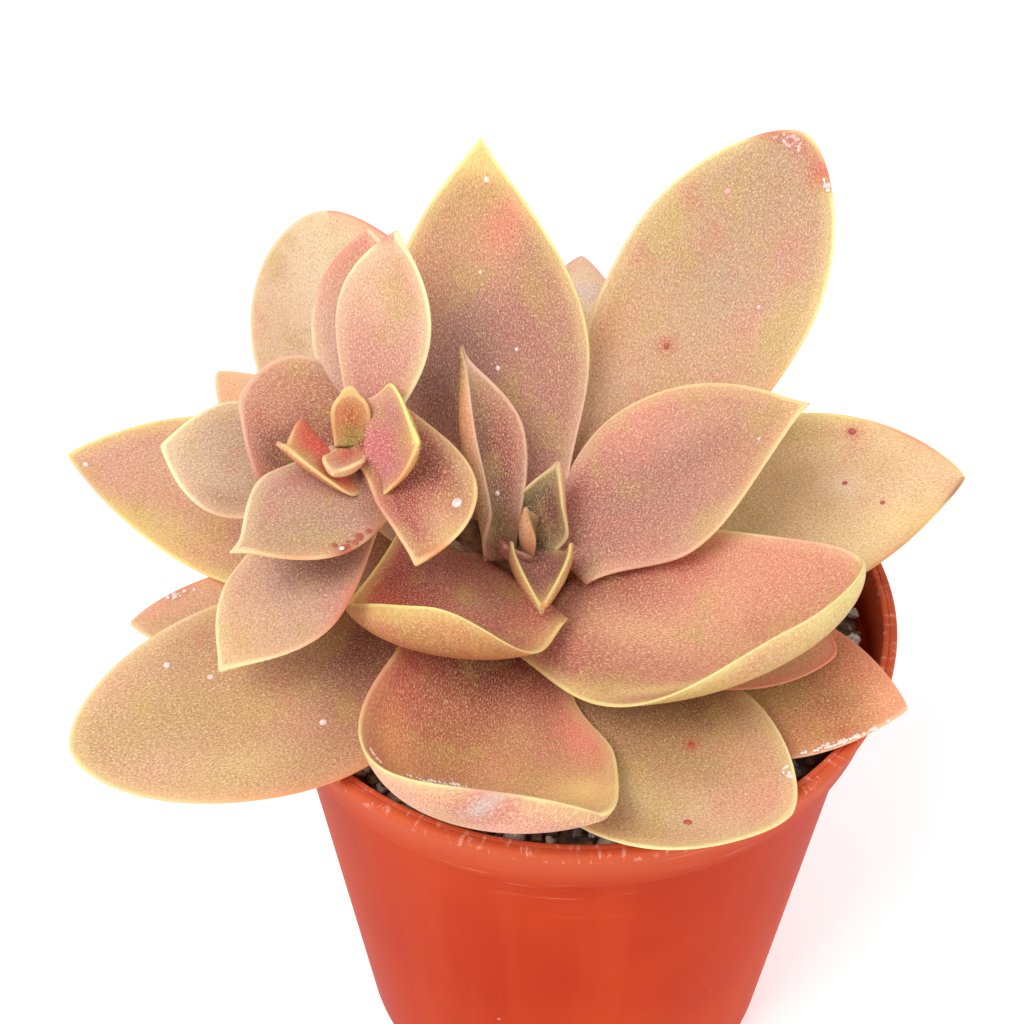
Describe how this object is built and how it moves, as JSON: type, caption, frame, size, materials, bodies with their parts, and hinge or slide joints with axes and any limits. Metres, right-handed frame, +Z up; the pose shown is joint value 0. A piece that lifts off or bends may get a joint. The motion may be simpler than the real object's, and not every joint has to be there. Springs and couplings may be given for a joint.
{
  "type": "potted echeveria",
  "caption": "Fleshy rosette succulent with blunt, cupped, warm tan leaves and a smaller side rosette on a stalk, growing in a round orange nursery pot with a stepped collar.",
  "frame": {"origin": "middle of the pot's flat underside, on the surface it stands on", "axes": "+Z up; -Y towards the plant's front, the side with the strongly cupped leaf; +X to the right as seen from the front"},
  "size_m": [0.1235, 0.1077, 0.14],
  "materials": {
    "pot_plastic": "semi-gloss orange thermoformed plastic, lightly scuffed and dusty",
    "potting_mix": "dry gritty mix of dark soil, pale pumice and grey gravel",
    "stem_bark": "dull brown corky bark with old leaf scars",
    "leaf_skin": "waxy, finely papillose skin with a shimmer, tan to pink, with pale yellow margins",
    "young_leaf_skin": "waxy, finely papillose skin, rose to maroon, with pale green-yellow margins"
  },
  "bodies": {
    "root": {"pot": "pot_plastic", "potting_mix": "potting_mix", "stem": "stem_bark", "main_heart": "young_leaf_skin", "offset_heart": "young_leaf_skin", "main_leaf_upright": "leaf_skin", "main_leaf_right_inner": "leaf_skin", "main_leaf_left_cupped": "leaf_skin", "main_leaf_back": "leaf_skin", "main_leaf_right_cupped": "leaf_skin", "main_leaf_front_cupped": "leaf_skin", "main_leaf_back_right": "leaf_skin", "main_leaf_right_outer": "leaf_skin", "main_leaf_left": "leaf_skin", "main_leaf_back_left": "leaf_skin", "main_leaf_front_left": "leaf_skin", "main_leaf_right_low_inner": "leaf_skin", "main_leaf_front_right": "leaf_skin", "main_leaf_back_left_low": "leaf_skin", "main_leaf_left_low": "leaf_skin", "main_leaf_back_low": "leaf_skin", "main_leaf_right_low": "leaf_skin", "offset_leaf_right_young": "leaf_skin", "offset_leaf_back": "leaf_skin", "offset_leaf_left_inner": "leaf_skin", "offset_leaf_front_inner": "leaf_skin", "offset_leaf_right_front": "leaf_skin", "offset_leaf_back_outer": "leaf_skin", "offset_leaf_left": "leaf_skin", "offset_leaf_front_outer": "leaf_skin"}
  },
  "joints": []
}
